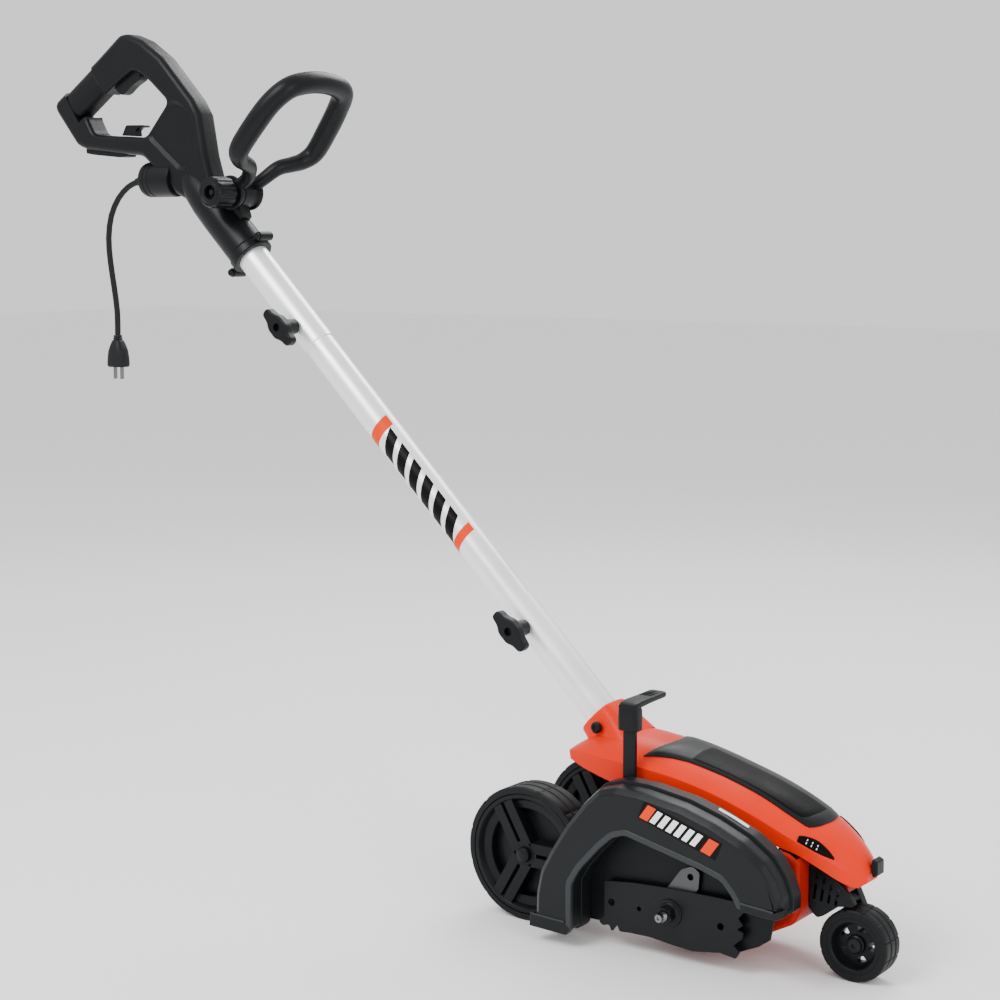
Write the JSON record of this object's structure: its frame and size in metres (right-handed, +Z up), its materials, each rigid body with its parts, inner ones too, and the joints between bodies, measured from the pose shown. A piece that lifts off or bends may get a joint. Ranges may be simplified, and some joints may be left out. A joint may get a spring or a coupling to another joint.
{
  "type": "walk-behind lawn edger",
  "caption": "Corded electric walk-behind lawn edger: orange motor hood, side blade in an arched guard, telescoping shaft, looped rear handle and assist handle.",
  "frame": {"origin": "on the floor, under the middle of the machine's bounding box without the cord and plug", "axes": "+X forward along the cut, +Y to the user's left, +Z up; the blade and guard are on the -Y side"},
  "size_m": [1.287, 0.2752, 1.085],
  "materials": {
    "orange_plastic": "glossy moulded plastic",
    "dark_orange_plastic": "satin moulded plastic",
    "black_plastic": "satin black moulded plastic",
    "guard_plastic": "charcoal moulded plastic",
    "soft_grip": "matt soft grip",
    "tyre_rubber": "matt rubber",
    "shaft_aluminium": "satin silver",
    "cast_aluminium": "as cast",
    "steel": "ground steel",
    "laminations": "stacked sheet steel",
    "rotor_steel": "sheet steel with copper winding"
  },
  "bodies": {
    "chassis": {"hood": "orange_plastic", "lower_housing": "dark_orange_plastic", "hood_inlay": "black_plastic", "vent_panel_left": "black_plastic", "vent_panel_right": "black_plastic", "nose_tab": "black_plastic", "socket_bolt": "black_plastic", "inner_guard": "black_plastic", "blade_guard": "guard_plastic", "front_arm": "black_plastic", "front_axle_bolt": "steel", "gearbox_head": "cast_aluminium", "motor_stator": "laminations", "lower_tube": "shaft_aluminium"},
    "motor_rotor": {"armature": "rotor_steel", "cooling_fan": "black_plastic", "bevel_pinion": "steel"},
    "blade_assembly": {"spindle": "steel", "bevel_gear": "steel", "inner_flange": "steel", "edger_blade": "steel", "outer_flange": "steel", "blade_nut": "steel"},
    "spindle_lock": {"spindle_lock_plate": "steel"},
    "front_roller": {"front_wheel": "black_plastic", "front_tyre": "tyre_rubber"},
    "depth_carriage": {"axle_carrier": "black_plastic", "depth_shaft": "steel", "depth_lever": "black_plastic", "lever_grip": "black_plastic", "rear_axle": "steel", "hub_cap_left": "black_plastic", "hub_cap_right": "black_plastic"},
    "right_wheel": {"rear_wheel_right": "black_plastic", "rear_tyre_right": "tyre_rubber"},
    "left_wheel": {"rear_wheel_left": "black_plastic", "rear_tyre_left": "tyre_rubber"},
    "middle_shaft": {"middle_tube": "shaft_aluminium"},
    "lower_clamp": {"lower_wing_knob": "black_plastic", "lower_knob_bolt": "steel"},
    "handle": {"upper_tube": "shaft_aluminium", "tube_collar": "black_plastic", "collar_bolt_top": "steel", "collar_bolt_bottom": "steel", "handle_shell_left": "black_plastic", "handle_shell_right": "black_plastic", "grip_overmould": "soft_grip", "cord_hook": "black_plastic", "cord_inlet": "black_plastic", "strain_relief": "soft_grip", "power_cord": "soft_grip", "plug": "black_plastic", "assist_bracket": "black_plastic", "power_switch": "black_plastic"},
    "upper_clamp": {"upper_wing_knob": "black_plastic", "upper_knob_bolt": "steel"},
    "trigger_body": {"trigger": "black_plastic"},
    "assist_bar": {"assist_handle": "black_plastic"},
    "assist_clamp": {"assist_knob": "black_plastic", "assist_bolt": "steel"}
  },
  "joints": [
    {"name": "blade_spin", "type": "hinge", "parent": "chassis", "child": "blade_assembly", "pos_m": [0.40351, -0.01065, 0.057], "axis": [0, 1, 0], "continuous": true},
    {"name": "motor_spin", "type": "hinge", "parent": "chassis", "child": "motor_rotor", "pos_m": [0.40351, -0.01065, 0.057], "axis": [0.9511, 0, 0.309], "continuous": true},
    {"name": "spindle_lock_slide", "type": "slide", "parent": "chassis", "child": "spindle_lock", "axis": [0, 0, -1], "range_m": [0, 0.005], "stiffness_N_per_m": 300, "springref_m": -0.003},
    {"name": "front_wheel_spin", "type": "hinge", "parent": "chassis", "child": "front_roller", "pos_m": [0.60251, -0.02865, 0.041], "axis": [0, 1, 0], "continuous": true},
    {"name": "depth_set", "type": "hinge", "parent": "chassis", "child": "depth_carriage", "pos_m": [0.29951, -0.01065, 0.15], "axis": [0, 1, 0], "range_deg": [-18, 0]},
    {"name": "right_wheel_spin", "type": "hinge", "parent": "depth_carriage", "child": "right_wheel", "pos_m": [0.18951, -0.06165, 0.082], "axis": [0, 1, 0], "continuous": true},
    {"name": "left_wheel_spin", "type": "hinge", "parent": "depth_carriage", "child": "left_wheel", "pos_m": [0.18951, 0.11035, 0.082], "axis": [0, 1, 0], "continuous": true},
    {"name": "lower_telescope", "type": "slide", "parent": "chassis", "child": "middle_shaft", "axis": [-0.7133, 0, 0.7009], "range_m": [-0.18, 0]},
    {"name": "lower_clamp_turn", "type": "hinge", "parent": "chassis", "child": "lower_clamp", "pos_m": [0.15476, -0.06065, 0.34657], "axis": [0, -1, 0], "range_deg": [0, 360]},
    {"name": "upper_telescope", "type": "slide", "parent": "middle_shaft", "child": "handle", "axis": [-0.7133, 0, 0.7009], "range_m": [-0.2, 0]},
    {"name": "upper_clamp_turn", "type": "hinge", "parent": "handle", "child": "upper_clamp", "pos_m": [-0.20472, -0.06065, 0.69983], "axis": [0, -1, 0], "range_deg": [0, 360]},
    {"name": "assist_tilt", "type": "hinge", "parent": "handle", "child": "assist_bar", "pos_m": [-0.31449, -0.01065, 0.871], "axis": [0, 1, 0], "range_deg": [-35, 35]},
    {"name": "assist_clamp_turn", "type": "hinge", "parent": "handle", "child": "assist_clamp", "pos_m": [-0.31449, -0.01065, 0.871], "axis": [0, -1, 0], "range_deg": [0, 360]},
    {"name": "trigger_pull", "type": "hinge", "parent": "handle", "child": "trigger_body", "pos_m": [-0.49273, -0.01065, 1.03755], "axis": [0, 1, 0], "range_deg": [0, 8], "stiffness_Nm_per_rad": 0.5, "springref_deg": -5.73}
  ],
  "couplings": [
    {"joint": "motor_spin", "follows": "blade_spin", "ratio": 4}
  ]
}
